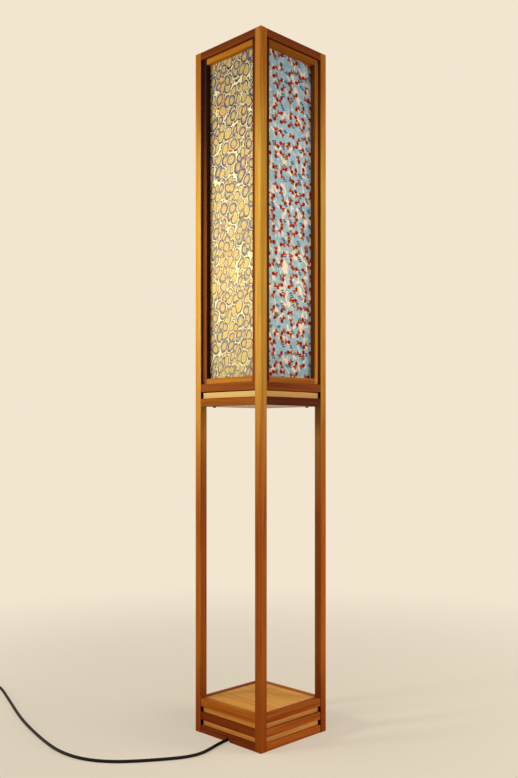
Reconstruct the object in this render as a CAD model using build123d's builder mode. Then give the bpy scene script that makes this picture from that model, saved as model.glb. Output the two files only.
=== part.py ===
from build123d import *
import math
import os

# Andon floor lamp: a square post-and-rail tower of small timber, with a boarded base, an open niche and a
# papered lantern on top. Millimetres, +Z up. The origin is the centre of the base on the floor.
# The four sides are named south (-Y), east (+X), north (+Y) and west (-X).

# Tower and joinery
tower_width = 205.0
tower_height = 1500.0
post_section = 18.0
post_chamfer = 0.8
rail_height = 17.0
rail_depth = 17.0
rail_reveal = 1.0
rail_chamfer = 0.5
tenon_thickness = 6.0
tenon_height = 11.0
tenon_length = 5.0
mortise_clearance = 0.1
niche_height = 645.0

# Boards
base_board_thickness = 12.0
floor_board_thickness = 17.0
shelf_board_thickness = 12.0
board_setback = 6.0
board_post_gap = 2.0
floor_board_gap = 0.3
shelf_top_gap = 2.0

# Paper panels
panel_strip = 12.0
panel_depth = 12.0
panel_side_gap = 1.0
strip_joint_gap = 0.1
strip_chamfer = 0.4
paper_thickness = 0.4
paper_margin = 1.0

# Cover under the shelf, with its screws
cover_thickness = 1.5
cover_gap = 0.5
pillar_diameter = 9.0
pillar_inset = 12.0
screw_diameter = 3.0
screw_bite = 9.0
screw_clearance = 0.2
screw_head_diameter = 6.5
screw_head_height = 3.2
screw_head_rounding = 1.0
cross_span = 3.8
cross_slot = 0.9
cross_depth = 1.0
pilot_clearance = 0.05

# Lamp stem, holder and bulb
stem_height = 150.0
stem_diameter = 10.0
stem_bore = 8.0
flange_diameter = 46.0
flange_thickness = 2.0
flange_screw_circle = 34.0
flange_screw_count = 3
flange_screw_diameter = 3.5
flange_screw_length = 9.0
flange_head_diameter = 7.0
flange_head_height = 1.8
flange_head_rounding = 0.7
shelf_hole_diameter = 12.0
holder_fit = 0.05
holder_hub_diameter = 20.0
holder_hub_height = 12.0
holder_cup_diameter = 38.0
holder_cup_height = 50.0
holder_shoulder = 6.0
holder_floor = 12.0
holder_lead_depth = 6.0
cap_diameter = 26.0
cap_length = 26.0
cap_tip_diameter = 10.0
cap_tip_height = 3.0
cap_wall = 1.0
cap_wall_clearance = 1.0
bulb_diameter = 60.0
bulb_centre_height = 51.0
bulb_wall = 0.8
neck_join_angle = 215.0

# Cord and everything on it
cord_diameter = 6.5
floor_clearance = 0.05
notch_width = 17.0
notch_height = 11.0
grip_width = 16.0
grip_length = 12.0
grip_floor_gap = 0.3
sleeve_length = 19.5
sleeve_tip_diameter = 7.9
sleeve_root_diameter = 9.6
grip_rail_gap = 0.5
grip_cord_height = 5.0
lead_gap = 0.25
base_lead_gap = 1.75
lead_slot_clearance = 3.75
cover_slot_clearance = 1.25
clip_size = 10.0
clip_height = 8.0
clip_bore_clearance = 0.05
clip_count = 3
clip_low_gap = 180.0
clip_top_gap = 25.0
saddle_width = 12.0
saddle_wall = 1.25
switch_length = 58.0
switch_width = 25.0
switch_height = 17.0
switch_corner = 6.0
switch_edge = 2.0
switch_heading = 197.0
boot_length = 18.0
boot_floor_gap = 0.2
boot_root_diameter = 12.0
boot_tip_diameter = 8.0
boot_groove_count = 3
boot_groove_width = 1.4
boot_groove_depth = 0.6
switch_seam_width = 0.6
switch_seam_depth = 0.4
rocker_length = 20.0
rocker_width = 12.0
rocker_gap = 0.4
rocker_hub_radius = 4.6
rocker_pivot_depth = 4.8
rocker_end_height = 5.6
rocker_dip_height = 4.4
rocker_chamfer = 0.5
rocker_tilt = 8.0
pocket_floor_gap = 0.6
trunnion_diameter = 3.0
trunnion_length = 1.5
trunnion_clearance = 0.075
coil_radius = 36.0
coil_pitch = 6.7
coil_columns = 3
coil_layers = 2
coil_rounding = 2.9
coil_centre = (-915.3, -342.8)
tie_thickness = 0.8
tie_width = 12.0
tie_gap = 0.1
tie_angle = 40.0
plug_length = 32.0
plug_width = 25.0
plug_height = 16.0
plug_edge = 4.0
plug_face_rounding = 1.5
plug_rib_count = 4
plug_rib_pitch = 3.2
plug_rib_groove = 1.2
plug_rib_depth = 0.6
plug_boot_length = 24.0
plug_boot_root = 11.0
plug_heading = 12.0
blade_length = 17.0
blade_width = 6.3
blade_thickness = 1.5
blade_spacing = 12.7
blade_root = 6.0
blade_chamfer = 0.4
blade_hole_diameter = 3.0
blade_hole_inset = 4.0
plug_start = (-826.0, -372.0)
switch_start = (-800.0, -246.0)

# Places worked out from the sizes
half = tower_width / 2
inner = half - post_section
rail_centre = half - rail_reveal - rail_depth / 2
rail_length = 2 * inner
cord_radius = cord_diameter / 2
base_lower_z = rail_height
base_middle_z = base_lower_z + base_board_thickness
base_upper_z = base_middle_z + rail_height
base_top_z = base_upper_z + base_board_thickness
niche_floor_z = base_top_z + rail_height
shelf_rail_z = niche_floor_z + niche_height
shelf_z = shelf_rail_z + rail_height
shelf_top_z = shelf_z + shelf_board_thickness
shade_rail_z = shelf_top_z + shelf_top_gap
panel_z = shade_rail_z + rail_height
top_rail_z = tower_height - rail_height
panel_height = top_rail_z - panel_z
stem_top_z = shelf_top_z + stem_height
holder_z = stem_top_z - holder_hub_height + holder_lead_depth / 2
cup_z = holder_z + holder_hub_height
cap_z = cup_z + holder_floor
bulb_z = cap_z + cap_length + bulb_centre_height
lead_corner = inner - cord_radius - lead_gap
base_lead_z = base_lower_z - cord_radius - base_lead_gap
shelf_lead_z = (shelf_rail_z + cover_thickness + shelf_z) / 2
grip_y = -(inner - grip_rail_gap)
floor_cord_z = cord_radius + floor_clearance
switch_cord_height = boot_root_diameter / 2 + boot_floor_gap
rocker_pivot_height = switch_height - rocker_pivot_depth

sides = {"south": 0, "east": 90, "north": 180, "west": 270}
corners = {
    "south_east": (1, -1),
    "north_east": (1, 1),
    "north_west": (-1, 1),
    "south_west": (-1, -1),
}
rail_levels = {
    "base_bottom": 0.0,
    "base_middle": base_middle_z,
    "base_top": base_top_z,
    "shelf": shelf_rail_z,
    "shade_bottom": shade_rail_z,
    "top": top_rail_z,
}

os.makedirs("parts", exist_ok=True)


def save(piece, name):
    """Label a finished piece and write it as its own STEP file."""
    piece.part.label = name
    export_step(piece.part, f"parts/{name}.step")


def side_plane(turn, height=0.0):
    """The floor plane turned so that its -Y side is the named side, raised to a height."""
    x_dir = (math.cos(math.radians(turn)), math.sin(math.radians(turn)), 0)
    return Plane(origin=(0, 0, height), x_dir=x_dir, z_dir=(0, 0, 1))


def on_heading(start, heading, distance, height):
    """The point at a distance from a start along a heading in degrees, at a height."""
    turn = math.radians(heading)
    return (start[0] + distance * math.cos(turn), start[1] + distance * math.sin(turn), height)


def heading_plane(start, heading, distance=0.0, height=0.0):
    """A level plane on a heading, with its X axis along that heading in degrees."""
    x_dir = (math.cos(math.radians(heading)), math.sin(math.radians(heading)), 0)
    return Plane(origin=on_heading(start, heading, distance, height), x_dir=x_dir, z_dir=(0, 0, 1))


# Posts, with a mortise for each tenon

for corner, (east, north) in corners.items():
    with BuildPart() as post:
        with BuildSketch(Plane.XY):
            with Locations((east * (half - post_section / 2), north * (half - post_section / 2))):
                Rectangle(post_section, post_section)
        extrude(amount=tower_height)
        chamfer(post.edges(), length=post_chamfer)
        mortise_depth = tenon_length + mortise_clearance
        mortise_width = tenon_thickness + 2 * mortise_clearance
        for level in rail_levels.values():
            bottom = level + (rail_height - tenon_height) / 2 - mortise_clearance
            with BuildSketch(Plane.XY.offset(bottom)):
                with Locations((east * (inner + mortise_depth / 2), north * rail_centre)):
                    Rectangle(mortise_depth, mortise_width)
                with Locations((east * rail_centre, north * (inner + mortise_depth / 2))):
                    Rectangle(mortise_width, mortise_depth)
            extrude(amount=tenon_height + 2 * mortise_clearance, mode=Mode.SUBTRACT)
    save(post, f"post_{corner}")

# Rails, four at each level

for level_name, level in rail_levels.items():
    for side, turn in sides.items():
        with BuildPart() as rail:
            with BuildSketch(side_plane(turn, level)):
                with Locations((0, -rail_centre)):
                    Rectangle(rail_length, rail_depth)
            extrude(amount=rail_height)
            chamfer(rail.edges().sort_by(SortBy.LENGTH)[-4:], length=rail_chamfer)
            with BuildSketch(side_plane(turn, level + (rail_height - tenon_height) / 2)):
                with Locations((0, -rail_centre)):
                    Rectangle(rail_length + 2 * tenon_length, tenon_thickness)
            extrude(amount=tenon_height)
            if level_name == "base_bottom" and side == "south":
                # The cord leaves through a V-shaped notch in the underside.
                with BuildSketch(Plane.XZ.offset(inner)):
                    with BuildLine():
                        Polyline((-notch_width / 2, 0), (0, notch_height), (notch_width / 2, 0), close=True)
                    make_face()
                extrude(amount=post_section, mode=Mode.SUBTRACT)
        save(rail, f"{level_name}_rail_{side}")

# Boards


def lead_slot(reach, clearance):
    """Sketch the square slot in the north-west corner of a board, where the lead goes up."""
    slot = reach - (lead_corner - cord_radius - clearance)
    with Locations((-(reach - slot / 2), reach - slot / 2)):
        Rectangle(slot, slot, mode=Mode.SUBTRACT)


def board_sketch(clearance=None):
    """Sketch a board that runs in between the rails, notched round the posts."""
    reach = half - board_setback
    notch = reach - (inner - board_post_gap)
    Rectangle(2 * reach, 2 * reach)
    for east, north in corners.values():
        with Locations((east * (reach - notch / 2), north * (reach - notch / 2))):
            Rectangle(notch, notch, mode=Mode.SUBTRACT)
    if clearance is not None:
        lead_slot(reach, clearance)


for name, level in (("base_lower_board", base_lower_z), ("base_upper_board", base_upper_z)):
    with BuildPart() as base_board:
        with BuildSketch(Plane.XY.offset(level)):
            board_sketch(lead_slot_clearance)
        extrude(amount=base_board_thickness)
    save(base_board, name)

with BuildPart() as floor_board:
    with BuildSketch(Plane.XY.offset(niche_floor_z - floor_board_thickness)):
        floor_reach = inner - floor_board_gap
        Rectangle(2 * floor_reach, 2 * floor_reach)
        lead_slot(floor_reach, lead_slot_clearance)
    extrude(amount=floor_board_thickness)
save(floor_board, "base_floor_board")

pillar_reach = inner - pillar_inset
pillar_places = [(east * pillar_reach, north * pillar_reach) for east, north in corners.values()]
pilot_radius = screw_diameter / 2 + pilot_clearance
flange_pilot_radius = flange_screw_diameter / 2 + pilot_clearance

with BuildPart() as shelf_board:
    with BuildSketch(Plane.XY.offset(shelf_z)):
        board_sketch()
        Circle(shelf_hole_diameter / 2, mode=Mode.SUBTRACT)
    extrude(amount=shelf_board_thickness)
    with BuildSketch(Plane.XY.offset(shelf_z)):
        with Locations(*pillar_places):
            Circle(pilot_radius)
    extrude(amount=screw_bite + pilot_clearance, mode=Mode.SUBTRACT)
    with BuildSketch(Plane.XY.offset(shelf_top_z)):
        with PolarLocations(flange_screw_circle / 2, flange_screw_count):
            Circle(flange_pilot_radius)
    extrude(amount=-(flange_screw_length + pilot_clearance), mode=Mode.SUBTRACT)
save(shelf_board, "shelf_board")

# Cover under the shelf, on four pillars, with its screws

with BuildPart() as under_cover:
    with BuildSketch(Plane.XY.offset(shelf_rail_z)):
        cover_reach = inner - cover_gap
        Rectangle(2 * cover_reach, 2 * cover_reach)
        lead_slot(cover_reach, cover_slot_clearance)
    extrude(amount=cover_thickness)
    with BuildSketch(Plane.XY.offset(shelf_rail_z)):
        with Locations(*pillar_places):
            Circle(pillar_diameter / 2)
    extrude(amount=rail_height)
    with BuildSketch(Plane.XY.offset(shelf_rail_z)):
        with Locations(*pillar_places):
            Circle((screw_diameter + screw_clearance) / 2)
    extrude(amount=rail_height, mode=Mode.SUBTRACT)
save(under_cover, "under_cover")



def cross_sketch():
    """Sketch the cross recess of a screw head."""
    Rectangle(cross_span, cross_slot)
    Rectangle(cross_slot, cross_span)


with BuildPart() as cover_screws:
    with BuildSketch(Plane.XY.offset(shelf_rail_z)):
        with Locations(*pillar_places):
            Circle(screw_head_diameter / 2)
    extrude(amount=-screw_head_height)
    head_faces = cover_screws.faces().sort_by(Axis.Z)[: len(pillar_places)]
    fillet(head_faces.edges(), radius=screw_head_rounding)
    with BuildSketch(Plane.XY.offset(shelf_rail_z)):
        with Locations(*pillar_places):
            Circle(screw_diameter / 2)
    extrude(amount=rail_height + screw_bite)
    with BuildSketch(Plane.XY.offset(shelf_rail_z - screw_head_height)):
        with Locations(*pillar_places):
            cross_sketch()
    extrude(amount=cross_depth, mode=Mode.SUBTRACT)
save(cover_screws, "cover_screws")

# Paper panels: four strips and a sheet on each side

panel_width = rail_length - 2 * panel_side_gap
panel_centre = inner + panel_depth / 2
stile_centre = (panel_width - panel_strip) / 2
cross_length = panel_width - 2 * panel_strip - 2 * strip_joint_gap

for side, turn in sides.items():
    with BuildPart() as panel_frame:
        with BuildSketch(side_plane(turn, panel_z)):
            with Locations((-stile_centre, -panel_centre), (stile_centre, -panel_centre)):
                Rectangle(panel_strip, panel_depth)
        extrude(amount=panel_height)
        for strip_z in (panel_z, top_rail_z - panel_strip):
            with BuildSketch(side_plane(turn, strip_z)):
                with Locations((0, -panel_centre)):
                    Rectangle(cross_length, panel_depth)
            extrude(amount=panel_strip)
        # Four long edges on each strip, and every strip is a solid of its own.
        for strip in panel_frame.solids():
            chamfer(strip.edges().sort_by(SortBy.LENGTH)[-4:], length=strip_chamfer)
    save(panel_frame, f"panel_frame_{side}")

    with BuildPart() as panel_paper:
        with BuildSketch(side_plane(turn, panel_z + paper_margin)):
            with Locations((0, -(inner - paper_thickness / 2))):
                Rectangle(panel_width - 2 * paper_margin, paper_thickness)
        extrude(amount=panel_height - 2 * paper_margin)
    save(panel_paper, f"panel_paper_{side}")

# Stem, holder and bulb

with BuildPart() as lamp_stem:
    with BuildSketch(Plane.XY.offset(shelf_top_z)):
        Circle(flange_diameter / 2)
    extrude(amount=flange_thickness)
    with BuildSketch(Plane.XY.offset(shelf_top_z)):
        Circle(stem_diameter / 2)
    extrude(amount=stem_height)
    with BuildSketch(Plane.XY.offset(shelf_top_z)):
        Circle(stem_bore / 2)
    extrude(amount=stem_height, mode=Mode.SUBTRACT)
    with BuildSketch(Plane.XY.offset(shelf_top_z)):
        with PolarLocations(flange_screw_circle / 2, flange_screw_count):
            Circle(flange_pilot_radius)
    extrude(amount=flange_thickness, mode=Mode.SUBTRACT)
save(lamp_stem, "lamp_stem")

with BuildPart() as flange_screws:
    with BuildSketch(Plane.XY.offset(shelf_top_z + flange_thickness)):
        with PolarLocations(flange_screw_circle / 2, flange_screw_count):
            Circle(flange_head_diameter / 2)
    extrude(amount=flange_head_height)
    head_faces = flange_screws.faces().sort_by(Axis.Z)[-flange_screw_count:]
    fillet(head_faces.edges(), radius=flange_head_rounding)
    with BuildSketch(Plane.XY.offset(shelf_top_z + flange_thickness)):
        with PolarLocations(flange_screw_circle / 2, flange_screw_count):
            Circle(flange_screw_diameter / 2)
    extrude(amount=-(flange_thickness + flange_screw_length))
    with BuildSketch(Plane.XY.offset(shelf_top_z + flange_thickness + flange_head_height)):
        with PolarLocations(flange_screw_circle / 2, flange_screw_count):
            cross_sketch()
    extrude(amount=-cross_depth, mode=Mode.SUBTRACT)
save(flange_screws, "flange_screws")

with BuildPart() as lamp_holder:
    hub_radius = holder_hub_diameter / 2
    cup_radius = holder_cup_diameter / 2
    mouth_radius = cap_diameter / 2 + cap_wall_clearance
    bore_radius = stem_diameter / 2 + holder_fit
    with BuildSketch(Plane.XZ):
        with BuildLine():
            Polyline(
                (bore_radius, holder_z),
                (hub_radius, holder_z),
                (hub_radius, cup_z),
                (cup_radius, cup_z + holder_shoulder),
                (cup_radius, cup_z + holder_cup_height),
                (mouth_radius, cup_z + holder_cup_height),
                (mouth_radius, cap_z),
                (0, cap_z),
                (0, stem_top_z + holder_lead_depth),
                (bore_radius, stem_top_z + holder_lead_depth),
                close=True,
            )
        make_face()
    revolve(axis=Axis.Z)
save(lamp_holder, "lamp_holder")

neck_z = cap_z + cap_length

cap_radius = cap_diameter / 2

with BuildPart() as bulb_cap:
    tip_radius = cap_tip_diameter / 2
    with BuildSketch(Plane.XZ):
        with BuildLine():
            Polyline(
                (0, cap_z),
                (tip_radius, cap_z),
                (cap_radius, cap_z + cap_tip_height),
                (cap_radius, neck_z),
                (cap_radius - cap_wall, neck_z),
                (cap_radius - cap_wall, cap_z + cap_tip_height + cap_wall),
                (0, cap_z + cap_tip_height + cap_wall),
                close=True,
            )
        make_face()
    revolve(axis=Axis.Z)
save(bulb_cap, "bulb_cap")

with BuildPart() as bulb_glass:
    globe_radius = bulb_diameter / 2
    neck_radius = cap_radius - cap_wall / 2
    # The neck leaves the cap upright and meets the globe along a smooth curve, tangent to both.
    join_angle = math.radians(neck_join_angle)
    join = (-globe_radius * math.cos(join_angle), bulb_z + globe_radius * math.sin(join_angle))
    join_heading = (-math.sin(join_angle), -math.cos(join_angle))
    with BuildSketch(Plane.XZ):
        with BuildLine():
            Spline((neck_radius, neck_z), join, tangents=((0, 1), join_heading))
            ThreePointArc(join, (globe_radius, bulb_z), (0, bulb_z + globe_radius))
            Polyline((0, bulb_z + globe_radius), (0, neck_z), (neck_radius, neck_z))
        make_face()
    revolve(axis=Axis.Z)
    offset(amount=-bulb_wall, openings=bulb_glass.faces().sort_by(Axis.Z)[0])
save(bulb_glass, "bulb_glass")

# Cord routes


def arc_radii(points):
    """The radius at each corner of a route: 0.45 of its shorter run, over the tangent of half its turn."""
    places = [Vector(*point) for point in points]
    radii = []
    for before, here, after in zip(places, places[1:], places[2:]):
        turn = math.radians((here - before).get_angle(after - here))
        shorter = min((here - before).length, (after - here).length)
        radii.append(0.45 * shorter / math.tan(turn / 2))
    return radii


def cord_tube(name, points):
    """Sweep the cord's round section along a route of straight runs joined by tangent arcs."""
    radii = arc_radii(points)
    with BuildPart() as tube:
        with BuildLine() as path:
            FilletPolyline(*points, radius=radii)
        route = path.wires()[0]
        with BuildSketch(Plane(origin=route @ 0, z_dir=route % 0)):
            Circle(cord_radius)
        sweep()
    expected = math.pi * cord_radius**2 * route.length
    print(
        f"{name}: {route.length:.1f} long, radii {[round(radius, 1) for radius in radii]},"
        f" volume over section times length {tube.part.volume / expected:.4f}"
    )
    save(tube, name)


# The lead inside the lamp: from the grip, under the lower board, up beside the north-west post, across the
# space under the shelf and up the stem. A saddle holds the level run between the two points named here.
saddle_start = Vector(-37, 22, base_lead_z)
saddle_end = Vector(-lead_corner + 14, lead_corner - 26, base_lead_z)

cord_tube(
    "inner_lead",
    [
        (0, grip_y, grip_cord_height),
        (0, grip_y + sleeve_length + grip_length + 16, grip_cord_height),
        (-9, -12, base_lead_z - 2),
        saddle_start,
        saddle_end,
        (-lead_corner, lead_corner, base_lead_z),
        (-lead_corner, lead_corner, shelf_lead_z),
        (-lead_corner + 23, lead_corner, shelf_lead_z),
        (-31, 46, shelf_lead_z),
        (-12, 19, shelf_lead_z),
        (0, 0, shelf_lead_z),
        (0, 0, stem_top_z + holder_lead_depth),
    ],
)

switch_total = switch_length + 2 * boot_length
outer_turn = coil_radius + coil_pitch * (coil_columns - 1) / 2
first_layer_z = tie_thickness + tie_gap + cord_radius
top_layer_z = first_layer_z + coil_pitch * (coil_layers - 1)
plug_cord_height = plug_height / 2

cord_tube(
    "supply_cord",
    [
        (0, grip_y, grip_cord_height),
        (0, grip_y - 12, grip_cord_height),
        (-0.5, -114, floor_cord_z),
        (5, -138, floor_cord_z),
        (14.5, -168, floor_cord_z),
        (19.5, -198, floor_cord_z),
        (11, -231, floor_cord_z),
        (-8, -264, floor_cord_z),
        (-34, -303, floor_cord_z),
        (-65, -342, floor_cord_z),
        (-103, -371, floor_cord_z),
        (-149, -388, floor_cord_z),
        (-206, -391, floor_cord_z),
        (-269, -381, floor_cord_z),
        (-336, -366, floor_cord_z),
        (-406, -348, floor_cord_z),
        (-479, -325, floor_cord_z),
        (-553, -298, floor_cord_z),
        (-626, -272, floor_cord_z),
        (-694, -248, floor_cord_z),
        (-750, -237, floor_cord_z),
        on_heading(switch_start, switch_heading, -16, switch_cord_height),
        on_heading(switch_start, switch_heading, 0, switch_cord_height),
    ],
)
cord_tube(
    "switch_cord",
    [
        on_heading(switch_start, switch_heading, switch_total, switch_cord_height),
        on_heading(switch_start, switch_heading, switch_total + 14, switch_cord_height),
        (-921, -286, first_layer_z),
        (-939, -301, first_layer_z),
        (-951, -320, first_layer_z),
    ],
)
cord_tube(
    "plug_cord",
    [
        (coil_centre[0], coil_centre[1] - outer_turn, top_layer_z),
        (-889, -386, top_layer_z - 1),
        on_heading(plug_start, plug_heading, -31, plug_cord_height),
        on_heading(plug_start, plug_heading, 0, plug_cord_height),
    ],
)

# Grip and clips of the inner lead

with BuildPart() as cord_grip:
    sleeve_plane = Plane(origin=(0, grip_y, grip_cord_height), x_dir=(1, 0, 0), z_dir=(0, 1, 0))
    with BuildSketch(sleeve_plane):
        Circle(sleeve_tip_diameter / 2)
    with BuildSketch(sleeve_plane.offset(sleeve_length)):
        Circle(sleeve_root_diameter / 2)
    loft()
    with BuildSketch(Plane.XY.offset(grip_floor_gap)):
        with Locations((0, grip_y + sleeve_length + grip_length / 2)):
            Rectangle(grip_width, grip_length)
    extrude(amount=base_lower_z - grip_floor_gap)
    with BuildSketch(sleeve_plane):
        Circle(cord_radius + clip_bore_clearance)
    extrude(amount=sleeve_length + grip_length, mode=Mode.SUBTRACT)
save(cord_grip, "cord_grip")

clip_bore = cord_radius + clip_bore_clearance

with BuildPart() as lead_clips:
    # Corner clips hug the inner edge of the north-west post.
    clip_spacing = (niche_height - clip_top_gap - clip_low_gap) / (clip_count - 1)
    for clip in range(clip_count):
        with BuildSketch(Plane.XY.offset(niche_floor_z + clip_low_gap + clip * clip_spacing)):
            with Locations((-lead_corner, lead_corner)):
                Rectangle(clip_size, clip_size)
            with Locations((-(inner + clip_size / 2), inner + clip_size / 2)):
                Rectangle(clip_size, clip_size, mode=Mode.SUBTRACT)
            with Locations((-lead_corner, lead_corner)):
                Circle(clip_bore, mode=Mode.SUBTRACT)
        extrude(amount=clip_height)
    # A saddle holds the lead to the underside of the lower board, half way along its level run.
    saddle_way = (saddle_end - saddle_start).normalized()
    saddle_plane = Plane(
        origin=(saddle_start + saddle_end) / 2 - saddle_way * (clip_height / 2),
        x_dir=saddle_way.cross(Vector(0, 0, 1)),
        z_dir=saddle_way,
    )
    saddle_top = base_lower_z - base_lead_z
    saddle_bottom = -(cord_radius + saddle_wall)
    with BuildSketch(saddle_plane):
        with Locations((0, -(saddle_top + saddle_bottom) / 2)):
            Rectangle(saddle_width, saddle_top - saddle_bottom)
        Circle(clip_bore, mode=Mode.SUBTRACT)
    extrude(amount=clip_height)
save(lead_clips, "lead_clips")

# In-line switch with a see-saw rocker

switch_floor = heading_plane(switch_start, switch_heading, switch_total / 2)
pocket_half_length = math.hypot(rocker_length / 2, rocker_end_height) + rocker_gap
pocket_bottom = rocker_pivot_height - rocker_hub_radius - pocket_floor_gap
boot_reach = switch_length / 2 - switch_edge


def rocker_section(tilt):
    """Plane across the switch through the rocker's pivot, turned to the tilt at which the rocker rests."""
    lean = math.radians(tilt)
    along = switch_floor.x_dir * math.cos(lean) + Vector(0, 0, math.sin(lean))
    pivot = switch_floor.from_local_coords((0, 0, rocker_pivot_height))
    return Plane(origin=pivot, x_dir=along, z_dir=-switch_floor.y_dir)


def on_rim(section, edge):
    """Whether an edge of the rocker runs round its top, and not across the dip in the middle."""
    return section.to_local_coords(edge.center()).Y > rocker_dip_height + rocker_chamfer / 2


def boot_rings(root_plane, length, root_diameter):
    """Planes and floor radii of the ring grooves round a boot that narrows to its tip."""
    rings = []
    for ring in range(1, boot_groove_count + 1):
        share = ring / (boot_groove_count + 1)
        diameter = root_diameter + (boot_tip_diameter - root_diameter) * share
        ring_plane = root_plane.offset(length * share - boot_groove_width / 2)
        rings.append((ring_plane, diameter / 2 - boot_groove_depth))
    return rings


with BuildPart() as switch_case:
    with BuildSketch(switch_floor):
        RectangleRounded(switch_length, switch_width, switch_corner)
    extrude(amount=switch_height)
    fillet(switch_case.faces().sort_by(Axis.Z)[-1].edges(), radius=switch_edge)
    # The two halves of the case meet in a seam at half height.
    with BuildSketch(switch_floor.offset((switch_height - switch_seam_width) / 2)):
        seam_inset = 2 * switch_seam_depth
        RectangleRounded(switch_length + seam_inset, switch_width + seam_inset, switch_corner)
        RectangleRounded(
            switch_length - seam_inset,
            switch_width - seam_inset,
            switch_corner - switch_seam_depth,
            mode=Mode.SUBTRACT,
        )
    extrude(amount=switch_seam_width, mode=Mode.SUBTRACT)
    for end in (-1, 1):
        boot_root = switch_floor.from_local_coords((end * boot_reach, 0, switch_cord_height))
        boot_plane = Plane(origin=boot_root, z_dir=switch_floor.x_dir * end)
        with BuildSketch(boot_plane):
            Circle(boot_root_diameter / 2)
        with BuildSketch(boot_plane.offset(boot_length + switch_edge)):
            Circle(boot_tip_diameter / 2)
        loft()
        for ring_plane, ring_floor in boot_rings(boot_plane, boot_length + switch_edge, boot_root_diameter):
            with BuildSketch(ring_plane):
                Circle(boot_root_diameter)
                Circle(ring_floor, mode=Mode.SUBTRACT)
            extrude(amount=boot_groove_width, mode=Mode.SUBTRACT)
    with BuildSketch(switch_floor.offset(pocket_bottom)):
        Rectangle(2 * pocket_half_length, rocker_width + 2 * rocker_gap)
    extrude(amount=switch_height - pocket_bottom, mode=Mode.SUBTRACT)
    with BuildSketch(rocker_section(0)):
        Circle(trunnion_diameter / 2 + trunnion_clearance)
    extrude(amount=rocker_width / 2 + rocker_gap + trunnion_length, both=True, mode=Mode.SUBTRACT)
save(switch_case, "switch_case")

with BuildPart() as switch_rocker:
    # A see-saw cap on a round hub, at rest with the end towards the lamp tipped down.
    rocker_rest = rocker_section(rocker_tilt)
    with BuildSketch(rocker_rest):
        with BuildLine():
            Polyline(
                (-rocker_length / 2, 0),
                (-rocker_length / 2, rocker_end_height),
                (0, rocker_dip_height),
                (rocker_length / 2, rocker_end_height),
                (rocker_length / 2, 0),
                close=True,
            )
        make_face()
        Circle(rocker_hub_radius)
    extrude(amount=rocker_width / 2, both=True)
    rim = [edge for edge in switch_rocker.edges() if on_rim(rocker_rest, edge)]
    chamfer(rim, length=rocker_chamfer)
    with BuildSketch(rocker_rest):
        Circle(trunnion_diameter / 2)
    extrude(amount=rocker_width / 2 + trunnion_length, both=True)
save(switch_rocker, "switch_rocker")

# Coil, tie and plug

coil_inside = coil_radius - coil_pitch * (coil_columns - 1) / 2 - cord_radius
coil_outside = outer_turn + cord_radius
coil_bottom = first_layer_z - cord_radius
coil_top = top_layer_z + cord_radius

with BuildPart() as cord_coil:
    with BuildSketch(Plane.XY.offset(coil_bottom)):
        with Locations(coil_centre):
            Circle(coil_outside)
            Circle(coil_inside, mode=Mode.SUBTRACT)
    extrude(amount=coil_top - coil_bottom)
    fillet(cord_coil.edges().filter_by(GeomType.CIRCLE), radius=coil_rounding)
save(cord_coil, "cord_coil")

with BuildPart() as coil_tie:
    tie_plane = Plane(
        origin=(*coil_centre, 0),
        x_dir=(math.cos(math.radians(tie_angle)), math.sin(math.radians(tie_angle)), 0),
        z_dir=(math.sin(math.radians(tie_angle)), -math.cos(math.radians(tie_angle)), 0),
    )
    # The band is flat and the coil is round, so its inner wall stands clear of the bend at the band's edges.
    near_wall = math.sqrt(coil_inside**2 - (tie_width / 2) ** 2)
    band_middle = ((near_wall + coil_outside) / 2, (coil_bottom + coil_top) / 2)
    band_inside = (coil_outside - near_wall + 2 * tie_gap, coil_top - coil_bottom + 2 * tie_gap)
    band_outside = [side + 2 * tie_thickness for side in band_inside]
    with BuildSketch(tie_plane):
        with Locations(band_middle):
            RectangleRounded(*band_outside, cord_radius)
            RectangleRounded(*band_inside, cord_radius - tie_thickness, mode=Mode.SUBTRACT)
    extrude(amount=tie_width / 2, both=True)
save(coil_tie, "coil_tie")

plug_floor = heading_plane(plug_start, plug_heading, 0, plug_cord_height)
plug_back = Plane(origin=plug_floor.origin, x_dir=plug_floor.y_dir, z_dir=plug_floor.x_dir)
plug_front = plug_boot_length + plug_length
along_plug = Axis(plug_floor.origin, plug_floor.x_dir)

with BuildPart() as plug_body:
    with BuildSketch(plug_back.offset(plug_boot_length)):
        RectangleRounded(plug_width, plug_height, plug_edge)
    extrude(amount=plug_length)
    fillet(plug_body.faces().sort_by(along_plug)[-1].edges(), radius=plug_face_rounding)
    fillet(plug_body.faces().sort_by(along_plug)[0].edges(), radius=plug_face_rounding)
    # Finger grooves across both narrow sides.
    for rib in range(plug_rib_count):
        rib_place = plug_boot_length + plug_length / 2 + (rib - (plug_rib_count - 1) / 2) * plug_rib_pitch
        with BuildSketch(plug_back.offset(rib_place - plug_rib_groove / 2)):
            with Locations((-plug_width / 2, 0), (plug_width / 2, 0)):
                Rectangle(2 * plug_rib_depth, plug_height)
        extrude(amount=plug_rib_groove, mode=Mode.SUBTRACT)
    with BuildSketch(plug_back):
        Circle(boot_tip_diameter / 2)
    with BuildSketch(plug_back.offset(plug_boot_length)):
        Circle(plug_boot_root / 2)
    loft()
    plug_boot_plane = Plane(origin=plug_back.offset(plug_boot_length).origin, z_dir=-plug_floor.x_dir)
    for ring_plane, ring_floor in boot_rings(plug_boot_plane, plug_boot_length, plug_boot_root):
        with BuildSketch(ring_plane):
            Circle(plug_boot_root)
            Circle(ring_floor, mode=Mode.SUBTRACT)
        extrude(amount=boot_groove_width, mode=Mode.SUBTRACT)
    with BuildSketch(plug_back.offset(plug_front - blade_root)):
        with Locations((-blade_spacing / 2, 0), (blade_spacing / 2, 0)):
            Rectangle(blade_thickness, blade_width)
    extrude(amount=blade_root, mode=Mode.SUBTRACT)
save(plug_body, "plug_body")

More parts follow.
